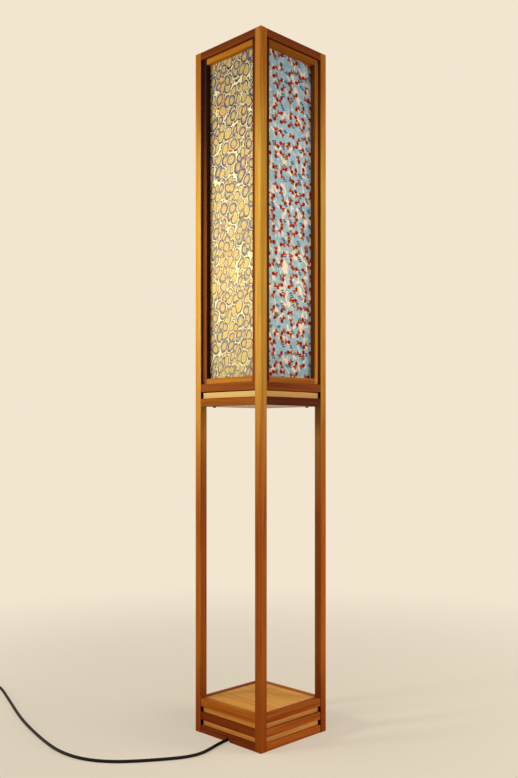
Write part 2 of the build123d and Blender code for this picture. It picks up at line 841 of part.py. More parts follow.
with BuildPart() as plug_blades:
    with BuildSketch(plug_back.offset(plug_front - blade_root)):
        with Locations((-blade_spacing / 2, 0), (blade_spacing / 2, 0)):
            Rectangle(blade_thickness, blade_width)
    extrude(amount=blade_root + blade_length)
    chamfer(plug_blades.faces().sort_by(along_plug)[-2:].edges(), length=blade_chamfer)
    hole_place = plug_back.offset(plug_front + blade_length - blade_hole_inset).origin
    with BuildSketch(Plane(origin=hole_place, x_dir=plug_floor.x_dir, z_dir=plug_floor.y_dir)):
        Circle(blade_hole_diameter / 2)
    extrude(amount=blade_spacing, both=True, mode=Mode.SUBTRACT)
save(plug_blades, "plug_blades")
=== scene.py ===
import math

import bmesh
import bpy
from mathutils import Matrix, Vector


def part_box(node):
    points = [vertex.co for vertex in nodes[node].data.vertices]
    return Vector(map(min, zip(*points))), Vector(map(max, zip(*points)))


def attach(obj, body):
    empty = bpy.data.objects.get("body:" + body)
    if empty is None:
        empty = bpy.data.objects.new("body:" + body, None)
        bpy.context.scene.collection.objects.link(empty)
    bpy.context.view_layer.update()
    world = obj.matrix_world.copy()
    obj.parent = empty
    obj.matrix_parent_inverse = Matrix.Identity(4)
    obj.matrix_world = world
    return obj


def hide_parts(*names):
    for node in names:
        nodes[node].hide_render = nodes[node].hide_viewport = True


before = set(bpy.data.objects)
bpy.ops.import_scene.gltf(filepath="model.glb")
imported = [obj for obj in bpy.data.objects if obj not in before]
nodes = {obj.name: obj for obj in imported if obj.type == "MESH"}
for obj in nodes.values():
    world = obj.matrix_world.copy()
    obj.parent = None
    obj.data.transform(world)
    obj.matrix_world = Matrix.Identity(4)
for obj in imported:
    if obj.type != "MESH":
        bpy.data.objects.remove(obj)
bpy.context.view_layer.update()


def addObject(name, data):
    piece = bpy.data.objects.new(name, data)
    bpy.context.scene.collection.objects.link(piece)
    return piece


# the camera looks level at the lamp's front corner and is shifted up to take in the top

cameraSpec = {
    "place": (1.3892, -1.3963, 0.6572),
    "heading": 44.965,  # degrees from +Y towards -X
    "focalPixels": 887.2,
    "imageHeight": 778,
    "horizonPixel": 434.7,
    "sensorHeight": 36.0,
    "clipEnd": 60.0,
}


def makeCamera(spec):
    data = bpy.data.cameras.new("viewCamera")
    data.sensor_fit = "VERTICAL"
    data.sensor_height = spec["sensorHeight"]
    data.lens = spec["focalPixels"] / spec["imageHeight"] * spec["sensorHeight"]
    data.shift_y = (spec["horizonPixel"] - spec["imageHeight"] / 2) / spec["imageHeight"]
    data.clip_end = spec["clipEnd"]
    camera = addObject("viewCamera", data)
    camera.location = spec["place"]
    camera.rotation_euler = (math.radians(90), 0, math.radians(spec["heading"]))
    bpy.context.scene.camera = camera


makeCamera(cameraSpec)
print("camera done")


# colours are written as they look, 0 to 255

def toLinear(value):
    value = value / 255
    return value / 12.92 if value <= 0.04045 else ((value + 0.055) / 1.055) ** 2.4


def colour(red, green, blue):
    return (toLinear(red), toLinear(green), toLinear(blue), 1)


class Shader:
    # the nodes of a material or a world, with a short call for each kind that is used

    def __init__(self, name, kind="Material"):
        self.owner = (bpy.data.worlds if kind == "World" else bpy.data.materials).new(name)
        self.owner.use_nodes = True
        self.tree = self.owner.node_tree
        self.tree.nodes.clear()
        self.output = self.add("ShaderNodeOutput" + kind)

    def put(self, value, socket):
        if isinstance(value, bpy.types.NodeSocket):
            self.tree.links.new(value, socket)
        else:
            socket.default_value = value

    def add(self, kind, *values, **settings):
        # values are for the node's first sockets; a setting with a capital names a socket
        node = self.tree.nodes.new(kind)
        for name, value in settings.items():
            if name[0].isupper():
                self.put(value, node.inputs[name.replace("_", " ")])
            else:
                setattr(node, name, value)
        for value, socket in zip(values, node.inputs):
            self.put(value, socket)
        return node

    def math(self, operation, *values):
        return self.add("ShaderNodeMath", *values, operation=operation).outputs[0]

    def product(self, first, second):
        return self.math("MULTIPLY", first, second)

    def vector(self, operation, *values):
        node = self.add("ShaderNodeVectorMath", *values, operation=operation)
        return node.outputs["Value" if operation == "LENGTH" else "Vector"]

    def times(self, vector, factor):
        return self.add("ShaderNodeVectorMath", vector, operation="SCALE", Scale=factor).outputs[0]

    def split(self, vector):
        return tuple(self.add("ShaderNodeSeparateXYZ", vector).outputs)

    def join(self, x, y, z=0.0):
        return self.add("ShaderNodeCombineXYZ", x, y, z).outputs[0]

    def mix(self, factor, first, second, blend="MIX"):
        node = self.add("ShaderNodeMix", factor, data_type="RGBA", blend_type=blend)
        for tone, socket in zip((first, second), node.inputs[6:8]):  # its sockets for colours
            self.put(tone, socket)
        return node.outputs[2]

    def blend(self, factor, first, second):
        # between two numbers
        return self.math("ADD", first, self.product(factor, self.math("SUBTRACT", second, first)))

    def shade(self, tone, level):
        # a colour made lighter or darker by a number
        return self.mix(1.0, tone, self.join(level, level, level), "MULTIPLY")

    def tint(self, tone, shares):
        # a colour with a share of its red, green and blue
        return self.mix(1.0, tone, (*shares, 1), "MULTIPLY")

    def ramp(self, factor, stops):
        node = self.add("ShaderNodeValToRGB", factor)
        band = node.color_ramp
        while len(band.elements) < len(stops):
            band.elements.new(0.5)
        for element, (place, tone) in zip(band.elements, stops):
            element.position = place
            element.color = tone
        return node.outputs[0]

    def remap(self, value, fromLow, fromHigh, toLow=0, toHigh=1, kind="LINEAR"):
        limits = (fromLow, fromHigh, toLow, toHigh)
        return self.add("ShaderNodeMapRange", value, *limits, interpolation_type=kind).outputs[0]

    def ease(self, value, fromLow, fromHigh, toLow=0, toHigh=1):
        return self.remap(value, fromLow, fromHigh, toLow, toHigh, "SMOOTHSTEP")

    def stretch(self, noise, low, high):
        # most of a noise lies between 0.3 and 0.7
        return self.remap(noise, 0.3, 0.7, low, high)

    def noise(self, vector, scale, detail=2.0, distortion=0.0, roughness=0.5, flat=False):
        node = self.add(
            "ShaderNodeTexNoise", vector, noise_dimensions="2D" if flat else "3D",
            Scale=scale, Detail=detail, Roughness=roughness, Distortion=distortion,
        )
        return node.outputs["Fac"]

    def drift(self, vector, scale, reach):
        # a small push to and fro, up to about the reach
        node = self.add("ShaderNodeTexNoise", vector, Scale=scale, Detail=1)
        push = self.vector("SUBTRACT", node.outputs["Color"], (0.5, 0.5, 0.5))
        return self.vector("ADD", vector, self.times(push, 2 * reach))

    def voronoi(self, vector, jitter, feature):
        settings = {"voronoi_dimensions": "2D", "feature": feature, "Scale": 1, "Randomness": jitter}
        return self.add("ShaderNodeTexVoronoi", vector, **settings).outputs

    def cells(self, vector, jitter):
        # where a point lies from the middle of its own cell, and three chances for that cell
        outputs = self.voronoi(vector, jitter, "F1")
        local = self.vector("SUBTRACT", vector, outputs["Position"])
        return local, self.split(outputs["Color"])

    def places(self):
        return self.add("ShaderNodeTexCoord").outputs["Object"]

    def bump(self, height, strength, distance):
        return self.add("ShaderNodeBump", strength, distance, Height=height).outputs[0]

    def surface(self, base, roughness, normal=None, shine=0.5, **settings):
        node = self.add("ShaderNodeBsdfPrincipled", base, Roughness=roughness, **settings)
        node.inputs["Specular IOR Level"].default_value = shine
        if normal is not None:
            self.put(normal, node.inputs["Normal"])
        self.put(node.outputs[0], self.output.inputs[0])
        return node

    def mixSurfaces(self, factor, first, second):
        both = self.add("ShaderNodeMixShader", factor, first.outputs[0], second.outputs[0])
        self.put(both.outputs[0], self.output.inputs[0])


def dress(names, material):
    for name in names:
        data = nodes[name].data
        data.materials.clear()
        data.materials.append(material)


# mains cord: one length to the switch, one from the switch through the coil to the plug

cordSpec = {
    "diameter": 0.0065,
    "roundSteps": 4,
    "bendSteps": 8,
    "exit": (0.0, -0.084, 0.005),
    "switch": {"place": (-0.800, -0.246, 0.0062), "heading": 197.0, "length": 0.094},  # with both boots
    "plug": {"place": (-0.826, -0.372, 0.008), "heading": 12.0},
    "floorHeight": 0.0033,
    "floorRoute": (
        (-0.0005, -0.114), (0.005, -0.138), (0.0145, -0.168), (0.0195, -0.198), (0.011, -0.231),
        (-0.008, -0.264), (-0.034, -0.303), (-0.065, -0.342), (-0.103, -0.371), (-0.149, -0.388),
        (-0.206, -0.391), (-0.269, -0.381), (-0.336, -0.366), (-0.406, -0.348), (-0.479, -0.325),
        (-0.553, -0.298), (-0.626, -0.272), (-0.694, -0.248), (-0.750, -0.237),
    ),
    "routeToCoil": ((-0.921, -0.286), (-0.939, -0.301)),
    "routeFromCoil": (-0.889, -0.386),
    "dropFromCoil": 0.001,
    "straights": {"exit": 0.012, "intoSwitch": 0.016, "fromSwitch": 0.014, "intoPlug": 0.031},
    "coilCentre": (-0.9153, -0.3428),
    "coilRadius": 0.0427,
    "columnWidth": 0.0067,
    "layerHeights": (0.00415, 0.01085),
    "coilStart": 147.7,
    "coilEnd": 270.0 + 5 * 360,
    "lowerShift": 447.7,  # where a turn of the lower layer moves in by one column
    "shiftLead": 50.0,  # how much earlier in its turn each later kind of move comes
    "zoneWidth": 46.0,  # degrees that each move takes
    "pointsPerTurn": 16,
}


def onHeading(fitting, distance):
    # a point on the straight line through a fitting
    turn = math.radians(fitting["heading"])
    x, y, z = fitting["place"]
    return (x + distance * math.cos(turn), y + distance * math.sin(turn), z)


def easeStep(value, centre, width):
    share = min(max((value - centre) / width + 0.5, 0), 1)
    return share * share * (3 - 2 * share)


def coilPoints(spec):
    # the turns go in column by column on the lower layer, climb, and come out again on the upper one
    low, high = spec["layerHeights"]
    width = spec["zoneWidth"]
    lowerShift = spec["lowerShift"]
    climb = lowerShift - spec["shiftLead"] + 2 * 360
    upperShift = lowerShift - 2 * spec["shiftLead"] + 3 * 360
    # a curve of order 3 runs a little inside its points
    swell = 1 / (0.75 + 0.25 * math.cos(2 * math.pi / spec["pointsPerTurn"]))
    turned = spec["coilEnd"] - spec["coilStart"]
    count = round(turned / 360 * spec["pointsPerTurn"])
    points = []
    for step in range(count):
        angle = spec["coilStart"] + turned * step / count
        moved = easeStep(angle, lowerShift, width) + easeStep(angle, lowerShift + 360, width)
        moved -= easeStep(angle, upperShift, width) + easeStep(angle, upperShift + 360, width)
        radius = (spec["coilRadius"] - spec["columnWidth"] * moved) * swell
        height = low + (high - low) * easeStep(angle, climb, width)
        turn = math.radians(angle)
        x, y = spec["coilCentre"]
        points.append((x + radius * math.cos(turn), y + radius * math.sin(turn), height))
    return points


def makeCord(name, points, spec):
    data = bpy.data.curves.new(name, "CURVE")
    data.dimensions = "3D"
    data.bevel_depth = spec["diameter"] / 2
    data.bevel_resolution = spec["roundSteps"]
    data.use_fill_caps = True
    spline = data.splines.new("NURBS")
    spline.points.add(len(points) - 1)
    for point, place in zip(spline.points, points):
        point.co = (*place, 1)
    spline.order_u = 3
    spline.use_endpoint_u = True
    spline.resolution_u = spec["bendSteps"]
    return addObject(name, data)


def makeCords(spec):
    # both run straight where they meet the lamp, the switch and the plug
    straights, switch, plug = spec["straights"], spec["switch"], spec["plug"]
    exitX, exitY, exitZ = spec["exit"]
    supplyRoute = [spec["exit"], (exitX, exitY - straights["exit"], exitZ)]
    supplyRoute += [(x, y, spec["floorHeight"]) for x, y in spec["floorRoute"]]
    supplyRoute += [onHeading(switch, -straights["intoSwitch"]), onHeading(switch, 0)]
    low, high = spec["layerHeights"]
    centreX, centreY = spec["coilCentre"]
    plugRoute = [onHeading(switch, switch["length"] + along) for along in (0, straights["fromSwitch"])]
    plugRoute += [(x, y, low) for x, y in spec["routeToCoil"]]
    plugRoute += coilPoints(spec)
    plugRoute += [(centreX, centreY - spec["coilRadius"], high)]
    plugRoute += [(*spec["routeFromCoil"], high - spec["dropFromCoil"])]
    plugRoute += [onHeading(plug, -straights["intoPlug"]), onHeading(plug, 0)]
    cords = [makeCord("supplyCord", supplyRoute, spec), makeCord("plugCord", plugRoute, spec)]
    return *cords, supplyRoute[0], plugRoute[0]


supplyCord, plugCord, supplyExit, plugExit = makeCords(cordSpec)
behindSwitch = ("switch_cord", "cord_coil", "plug_cord")
for piece, replaced in ((supplyCord, ("supply_cord",)), (plugCord, behindSwitch)):
    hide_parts(*replaced)
    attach(piece, "lamp")
print("cords done")


# oiled timber: posts, rails, panel strips and boards

woodSpec = {
    # dark, middle and light
    # the first two are one wood: its tone under painted light beside the shade, and its painted shade lower
    # down
    "post": ((178, 117, 37), (204, 148, 54), (220, 169, 72)),
    "shadedLowPost": ((133, 61, 11), (159, 79, 18), (178, 99, 28)),
    # the strips of the east and west frames and the stiles beside the front post are darker by painted
    # shade, the stiles at the far ends of the east and west frames lighter by painted light
    "strip": ((153, 84, 20), (183, 112, 29), (203, 138, 42)),
    "rightStrip": ((128, 66, 14), (159, 91, 23), (182, 114, 36)),
    "darkStile": ((66, 26, 8), (84, 36, 12), (100, 48, 18)),
    "leftStile": ((114, 52, 16), (140, 70, 24), (160, 86, 32)),
    "frontStile": ((104, 42, 8), (130, 58, 12), (150, 74, 18)),
    "rightStile": ((162, 92, 22), (198, 125, 36), (226, 150, 48)),
    # the edge boards' south and east tones differ partly by the wood's own tone and partly by painted light
    # and shade
    "southBoard": ((184, 110, 40), (210, 133, 55), (228, 152, 70)),
    "eastBoard": ((180, 116, 58), (202, 137, 75), (220, 156, 92)),
    "floorBoard": ((222, 150, 66), (235, 167, 81), (243, 180, 94)),
}
grainSpec = {
    "streaks": 130.0,  # streaks in a metre across the grain
    "stretch": 0.03,  # how much slower all of it changes along the grain
    "stops": (0.26, 0.50, 0.74),  # of the dark, middle and light tone
    "broadShare": 0.6,  # how much the wide bands lighten or darken it
    "pieceShare": 0.14,  # how much one piece is lighter or darker than the next
    "pieceStep": 7.3,  # metres of grain over which the pieces are spread
    "lines": 380.0,
    "lineFrom": (0.52, 0.72),  # of the noise
    "lineDepth": 0.30,
    "lineShare": 0.72,  # of the dark tone
    "lineSink": -0.8,
    "fibres": 1500.0,
    "fibreTones": (0.93, 1.06),
    "fibreDepth": 0.0001,
    "roughness": 0.56,
    "roughnessSpread": 0.06,
    "shine": 0.04,
}
sideSlip = 0.0002  # a point this close to a side of a piece lies on it
sidePairs = {"X": ("south", "north"), "Y": ("east", "west")}  # by the axis that these sides run along
# painted shade: darker tones where little light falls, in the niche and the slots, in the shade's recesses,
# on the stiles and under the rails
paintedShadeSpec = {
    "niche": (66, 28, 8),
    "slot": (20, 11, 7),
    "shade": (80, 32, 10),
    "litShade": (124, 54, 14),
    "stile": (40, 20, 12),
    "under": (52, 20, 8),
}


def woodGrain(shader, tones, along):
    # colour, height and streaks of one direction of grain
    spec = grainSpec
    stretch = [spec["stretch"] if axis == along else 1.0 for axis in "XYZ"]
    number = shader.add("ShaderNodeObjectInfo").outputs["Random"]  # from 0 to 1, each piece has its own
    place = shader.vector("MULTIPLY", shader.places(), tuple(stretch))
    place = shader.vector("ADD", place, shader.times(shader.join(number, number, number), spec["pieceStep"]))
    streaks = shader.noise(place, spec["streaks"], 3, 0.4, 0.55)
    lines = shader.noise(place, spec["lines"], 2, 0.8, 0.6)
    fibres = shader.noise(place, spec["fibres"], 2, 0.0, 0.6)
    broad = shader.noise(place, spec["streaks"] / 4, 1)
    level = shader.math("MULTIPLY_ADD", shader.math("SUBTRACT", broad, 0.5), spec["broadShare"], streaks)
    level = shader.math("MULTIPLY_ADD", shader.math("SUBTRACT", number, 0.5), spec["pieceShare"], level)
    wood = shader.ramp(level, [(stop, colour(*tone)) for stop, tone in zip(spec["stops"], tones)])
    lateGrowth = shader.ease(lines, *spec["lineFrom"], 0, spec["lineDepth"])
    wood = shader.mix(lateGrowth, wood, colour(*(spec["lineShare"] * channel for channel in tones[0])))
    wood = shader.shade(wood, shader.stretch(fibres, *spec["fibreTones"]))
    height = shader.math("MULTIPLY_ADD", lateGrowth, spec["lineSink"], fibres)
    return wood, height, streaks


def finishWood(shader, wood, height, streaks):
    dull, spread = grainSpec["roughness"], grainSpec["roughnessSpread"]
    roughness = shader.stretch(streaks, dull + spread, dull - spread)
    normal = shader.bump(height, 0.5, grainSpec["fibreDepth"])
    shader.surface(wood, roughness, normal, grainSpec["shine"])
    return shader.owner


def onEastAndWest(shader, node):
    # 1 on the piece's east and west sides, 0 elsewhere
    x = shader.split(shader.places())[0]
    return shader.math("GREATER_THAN", shader.math("ABSOLUTE", x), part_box(node)[1][0] - sideSlip)


railSpec = {
    # each level's tone on the south and north sides, and on the east and west ones; they differ partly by
    # the woods' own tone and partly by painted light and shade
    "tones": {
        "top": {"X": (108, 47, 14), "Y": (116, 53, 16)},
        "shade_bottom": {"X": (125, 59, 12), "Y": (130, 61, 12)},
        "shelf": {"X": (143, 73, 14), "Y": (86, 31, 5)},
        "base_top": {"X": (182, 99, 24), "Y": (154, 75, 19)},
        "base_middle": {"X": (128, 54, 11), "Y": (166, 86, 25)},
        "base_bottom": {"X": (126, 54, 12), "Y": (165, 83, 24)},
    },
    "shares": ((0.82, 0.74, 0.58), (1, 1, 1), (1.15, 1.26, 1.45)),  # of that tone: dark, middle and light
    # how much painted shade lies on the underside
    "underShadeShare": 0.7,
}


def makeRailWood(name, middle, along, node):
    # painted shade on the underside
    shader = Shader(name)
    tones = [[channel * share for channel, share in zip(middle, shares)] for shares in railSpec["shares"]]
    wood, height, streaks = woodGrain(shader, tones, along)
    z = shader.split(shader.places())[2]
    under = shader.math("LESS_THAN", z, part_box(node)[0][2] + sideSlip)
    under = shader.product(under, railSpec["underShadeShare"])
    wood = shader.mix(under, wood, colour(*paintedShadeSpec["under"]))
    return finishWood(shader, wood, height, streaks)


postSpec = {
    "paintedLightRise": (0.45, 0.95),  # heights between which painted light on the posts grows more and more
    "faded": (1.20, 1.46),  # heights between which that goes back again
    "topShare": 0.24,  # of it that is left at the top
    "foot": (0.03, 0.20),  # heights between which painted shade darkens them towards their feet
    "footShadeShares": (0.72, 0.56, 0.40),
    "nicheShares": (0.2, 0.5),  # how deep the niche's painted shade is on the sides that face along X and along Y
    "shadeShare": 0.85,
}


def makePostWood(name, spec):
    # painted light beside the shade; painted shade towards the feet, on the inner sides, in the slots and in
    # the shade's recesses
    shader = Shader(name)
    upper = woodGrain(shader, woodSpec["post"], "Z")
    lower = woodGrain(shader, woodSpec["shadedLowPost"], "Z")
    x, y, z = shader.split(shader.places())
    paintedLightRise = shader.ease(z, *spec["paintedLightRise"])
    faded = shader.ease(z, *spec["faded"], 1, spec["topShare"])
    wood = shader.mix(shader.product(paintedLightRise, faded), lower[0], upper[0])
    atFoot = shader.ease(z, *spec["foot"], 1, 0)
    wood = shader.mix(atFoot, wood, shader.tint(wood, spec["footShadeShares"]))
    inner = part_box("post_north_east")[0][0] + sideSlip
    atSide = [shader.math("LESS_THAN", shader.math("ABSOLUTE", axis), inner) for axis in (x, y)]
    for where, share in zip(atSide, spec["nicheShares"]):
        wood = shader.mix(shader.product(where, share), wood, colour(*paintedShadeSpec["niche"]))
    either = shader.math("MAXIMUM", *atSide)
    floorBoard, shelf, shadeRail, panel = (
        [corner[2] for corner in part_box(node)]
        for node in ("base_floor_board", "shelf_board", "shade_bottom_rail_south", "panel_frame_south")
    )
    # painted shade in the slots and on the sides that stand in the shade's recesses
    for low, high, where, shadeKind, depth in (
        (0, floorBoard[0], either, "slot", 1.0),
        (shelf[0], shadeRail[0], either, "slot", 1.0),
        (*panel, atSide[0], "shade", spec["shadeShare"]),
        (*panel, atSide[1], "litShade", spec["shadeShare"]),
    ):
        atHeight = shader.math("COMPARE", z, (low + high) / 2, (high - low) / 2)
        share = shader.product(shader.product(where, atHeight), depth)
        wood = shader.mix(share, wood, colour(*paintedShadeSpec[shadeKind]))
    return finishWood(shader, wood, *upper[1:])


frameSpec = {
    "stripWidth": 0.012,
    "stripSlip": 0.00005,
    # the woods of the lying strips and of the two stiles, with painted light and shade in their tones
    "woods": {"X": ("strip", "leftStile", "frontStile"), "Y": ("rightStrip", "darkStile", "rightStile")},
    "recessShades": {"X": (52, 28, 13), "Y": (134, 78, 32)},  # painted shade on the sides of the stiles that face each other
    # for each stile the heights between which painted shade darkens it, and how much
    "shades": {"X": ((0.95, 1.42, 0.97), (1.20, 1.42, 0.5)), "Y": ((1.20, 1.42, 0.4), (1.20, 1.42, 0.5))},
}


def makeStripWood(name, spec, along, node):
    # the stiles stand, and the strips between them at top and bottom lie
    shader = Shader(name)
    low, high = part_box(node)
    middle, reach = (low[2] + high[2]) / 2, (high[2] - low[2]) / 2
    across = "XY".index(along)
    place = shader.split(shader.places())
    side, z = place[across], place[2]
    fromMiddle = shader.math("ABSOLUTE", shader.math("SUBTRACT", z, middle))
    fromSide = shader.math("SUBTRACT", high[across] - spec["stripWidth"], shader.math("ABSOLUTE", side))
    atEnd = shader.math("GREATER_THAN", fromMiddle, reach - spec["stripWidth"] - spec["stripSlip"])
    lying = shader.product(atEnd, shader.math("GREATER_THAN", fromSide, spec["stripSlip"]))
    inRecess = shader.math("GREATER_THAN", fromSide, -spec["stripSlip"])
    strip, *stiles = (woodSpec[wood] for wood in spec["woods"][along])
    uprights = [woodGrain(shader, stile, "Z") for stile in stiles]
    level = woodGrain(shader, strip, along)
    shaded = []
    for upright, (lowest, highest, share) in zip(uprights, spec["shades"][along]):
        shadow = shader.ease(z, lowest, highest, 0, share)
        shaded.append(shader.mix(shadow, upright[0], colour(*paintedShadeSpec["stile"])))
    wood = shader.mix(shader.math("GREATER_THAN", side, 0.0), *shaded)
    wood = shader.mix(inRecess, wood, colour(*spec["recessShades"][along]))
    wood = shader.mix(lying, wood, level[0])
    height, streaks = (shader.blend(lying, *pair) for pair in zip(uprights[0][1:], level[1:]))
    return finishWood(shader, wood, height, streaks)


def makeBoardWood(name, node):
    # the grain follows each edge of the board that shows
    shader = Shader(name)
    lengthwise = woodGrain(shader, woodSpec["southBoard"], "X")
    crosswise = woodGrain(shader, woodSpec["eastBoard"], "Y")
    wood = shader.mix(onEastAndWest(shader, node), lengthwise[0], crosswise[0])
    return finishWood(shader, wood, *crosswise[1:])


def makeFloorBoardWood(name):
    shader = Shader(name)
    return finishWood(shader, *woodGrain(shader, woodSpec["floorBoard"], "X"))


dress([name for name in nodes if name.startswith("post_")], makePostWood("postWood", postSpec))
for along, sides in sidePairs.items():
    for level, tones in railSpec["tones"].items():
        rails = [f"{level}_rail_{side}" for side in sides]
        dress(rails, makeRailWood(level + "Rail" + along, tones[along], along, rails[0]))
    frames = [f"panel_frame_{side}" for side in sides]
    dress(frames, makeStripWood("stripWood" + along, frameSpec, along, frames[0]))
boards = ["base_lower_board", "base_upper_board"]
dress(boards, makeBoardWood("edgeBoardWood", boards[0]))
dress(["base_floor_board"], makeFloorBoardWood("floorBoardWood"))
print("timber done")


# shelf board: pale plywood, its layers show on the edge

plywoodSpec = {
    "plies": 5,
    "light": (228, 193, 124),
    "dark": (213, 166, 93),
    "plyShare": 0.2,  # how much darker every second ply is
    "grain": 420,  # streaks in a metre across it
    "grainStretch": 0.04,
    "grainShares": (0.15, 0.75),
    "endGrain": 900,
    "endShare": 0.25,
    "eastShadeShares": (0.97, 0.83, 0.64),  # of the tone, on the east and west edges, as painted shade
    "roughness": 0.62,
    "shine": 0.2,
    "grainDepth": 0.0001,
}


def makePlywood(spec):
    shader = Shader("shelfPlywood")
    low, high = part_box("shelf_board")
    place = shader.places()
    z = shader.split(place)[2]
    layer = shader.math("FLOOR", shader.remap(z, low[2], high[2], 0, spec["plies"]))
    second = shader.math("PINGPONG", layer, 1.0)
    flatPlace = shader.vector("MULTIPLY", place, (spec["grainStretch"], spec["grainStretch"], 1.0))
    grain = shader.noise(flatPlace, spec["grain"], 2)
    endGrain = shader.noise(place, spec["endGrain"], 1)
    tone = shader.remap(grain, 0.25, 0.75, *spec["grainShares"])
    tone = shader.math("MULTIPLY_ADD", second, spec["plyShare"], tone)
    tone = shader.math("MULTIPLY_ADD", shader.math("SUBTRACT", endGrain, 0.5), spec["endShare"], tone)
    wood = shader.mix(tone, colour(*spec["light"]), colour(*spec["dark"]))
    wood = shader.mix(onEastAndWest(shader, "shelf_board"), wood, shader.tint(wood, spec["eastShadeShares"]))
    normal = shader.bump(grain, 0.3, spec["grainDepth"])
    shader.surface(wood, spec["roughness"], normal, spec["shine"])
    return shader.owner


dress(["shelf_board"], makePlywood(plywoodSpec))
print("shelf done")


# papers: a thin sheet behind each frame, marbled on two sides and printed with goldfish on two

paperSpec = {
    "inset": 0.0003,  # behind the back of the strips
    "slack": 0.0007,
    "waves": (3, 9),  # of the slack, across and up
    "waveShare": 0.4,
    "cells": (24, 96),  # across and up
    "fibres": 700,
    "fibreTones": (0.95, 1.04),
    "fibreDepth": 0.00015,
    "seeThrough": 0.30,  # share of the light that comes from behind
    "roughness": 0.8,
    "shine": 0.03,
}
marbleSpec = {
    "tones": {
        "ground": (248, 230, 176),
        "vein": (255, 250, 218),
        "lavender": (114, 112, 156),
        "paleLavender": (164, 154, 150),
        "slate": (24, 28, 78),
        "brown": (72, 46, 24),
        "olive": (132, 110, 66),
        "cream": (240, 218, 158),
        "tan": (204, 162, 96),
        "yellow": (234, 208, 104),
        "orange": (228, 120, 38),
        "rust": (186, 74, 24),
        # the last two tones are painted brightness lower down and painted shade at the top
        "faded": (255, 236, 172),
        "aged": (120, 84, 36),
    },
    # the rings of a stone, from its middle at 0 to its edge at 1
    "paleRings": (
        (0.0, "rust"), (0.10, "orange"), (0.16, "yellow"), (0.34, "yellow"), (0.42, "olive"),
        (0.50, "cream"), (0.64, "tan"), (0.72, "cream"), (0.84, "paleLavender"), (0.94, "brown"),
    ),
    "blueRings": (
        (0.0, "orange"), (0.12, "orange"), (0.18, "yellow"), (0.32, "yellow"), (0.39, "olive"),
        (0.47, "cream"), (0.56, "tan"), (0.64, "lavender"), (0.82, "lavender"), (0.90, "slate"),
        (1.0, "slate"),
    ),
    "pebbles": {
        "spacing": 0.0138, "tall": 1.6, "lean": 0.38, "sizes": (0.52, 0.82),
        "edge": 0.95,  # share of the way to its neighbours that a stone fills
        "share": 1.0, "blueShare": 0.45, "shift": 17.3,
    },
    "stones": {
        "spacing": 0.0195, "tall": 1.3, "lean": 0.2, "sizes": (0.42, 0.80),
        "edge": 0.96,
        "share": 0.8, "blueShare": 0.5, "shift": 3.7,
    },
    "eyes": {
        "spacing": 0.038, "leans": (-0.6, 0.6), "narrower": (1.02, 1.35), "sizes": (0.25, 0.36),
        "share": 0.7, "shift": 11.3, "blueness": (0.6, 1),
        "rim": 1.06,  # where its own edge ends, in sizes of an eye, and where the clear gap around it ends
        "gap": 1.2,
    },
    "roundness": 6.0,  # the lower it is, the softer the stones' corners
    "blueSoftness": 0.06,
    "halo": (1.1, 1.3, 0.9),  # from and to, in sizes of a stone, and its depth
    # the line along a part of a stone's edge is brown above the one chance, and rust above the other
    "arc": {"ends": (-0.4, 0.3), "reach": (0.76, 1.10), "line": (0.02, 0.40), "brown": 0.55, "rust": 0.84},
    "jitter": 0.9,
    "drifts": ((26, 0.004), (75, 0.0016)),  # how many in a metre, and how far in metres
    "clouds": (160, 0.45, 0.62),  # how many in a metre, from and to of the noise
    "worn": (240, 0.52, 0.72, 0.3),
    "ageing": {"aged": (1.18, 1.44, 0.13), "faded": (1.42, 1.08, 0.14)},  # painted shade at the top and painted brightness lower down: heights from and to, and depth
}
goldfishSpec = {
    "tones": {
        "water": (164, 203, 224),
        "deepWater": (143, 187, 214),
        "foam": (246, 230, 214),
        "ripple": (44, 62, 120),
        "red": (150, 24, 0),
        "orange": (168, 66, 0),
        "gold": (180, 106, 10),
    },
    "clouds": (70, 0.35, 0.65),
    "foam": {"size": (0.0122, 0.023), "lean": 0.42, "swirl": 0.7, "limits": (0.545, 0.60), "depth": 0.95},
    # strokes in millimetres: up to three lines of them lie above each other
    "ripples": {
        "spacing": 0.0265, "jitter": 0.7, "shift": 8.9, "leans": (-0.35, 0.75),
        "gap": 4.2, "sidestep": 2.2, "ends": (3.0, 5.4), "edge": (0.9, 2.2),
        "drawn": (0.05, 0.25),  # chances between which strokes get their full depth
        "depth": 0.95,
    },
    "fish": {"spacing": 0.0234, "jitter": 0.6, "shift": 5.1, "scale": 1.2, "bend": 0.045},
    # ovals of a fish in millimetres: middle, half length and width, angle, and whether it has a twin
    "ovals": {
        "head": ((3.9, 0), (3.9, 3.4), 0, False),
        "body": ((-0.4, 0), (4.2, 1.5), 0, False),
        "tail": ((-4.3, 2.1), (4.0, 1.8), -34, True),
        "tailMiddle": ((-4.4, 0), (3.0, 1.0), 0, False),
        "fins": ((1.7, 2.9), (1.4, 0.8), -64, True),
    },
    "skin": ((0.0, "red"), (0.22, "red"), (0.50, "orange"), (1.0, "gold")),
    # in millimetres: where along the fish that runs, its golden rim with its depth, and its outline
    "skinEnds": (1.0, -8.0),
    "rim": (-0.5, -0.1, 0.25),
    "outline": (-0.1, 0.12),
}


def localPlace(shader, place, spec, jitter):
    # in spacings; the shift gives each layer cells of its own
    shift = (spec["shift"], spec["shift"] * 1.7, 0.0)
    grid = shader.vector("ADD", shader.times(place, 1 / spec["spacing"]), shift)
    local, chances = shader.cells(grid, jitter)
    return shader.split(local)[:2], chances


def turned(shader, u, v, angle):
    cosine, sine = shader.math("COSINE", angle), shader.math("SINE", angle)
    along = shader.math("ADD", shader.product(u, cosine), shader.product(v, sine))
    across = shader.math("SUBTRACT", shader.product(v, cosine), shader.product(u, sine))
    return along, across


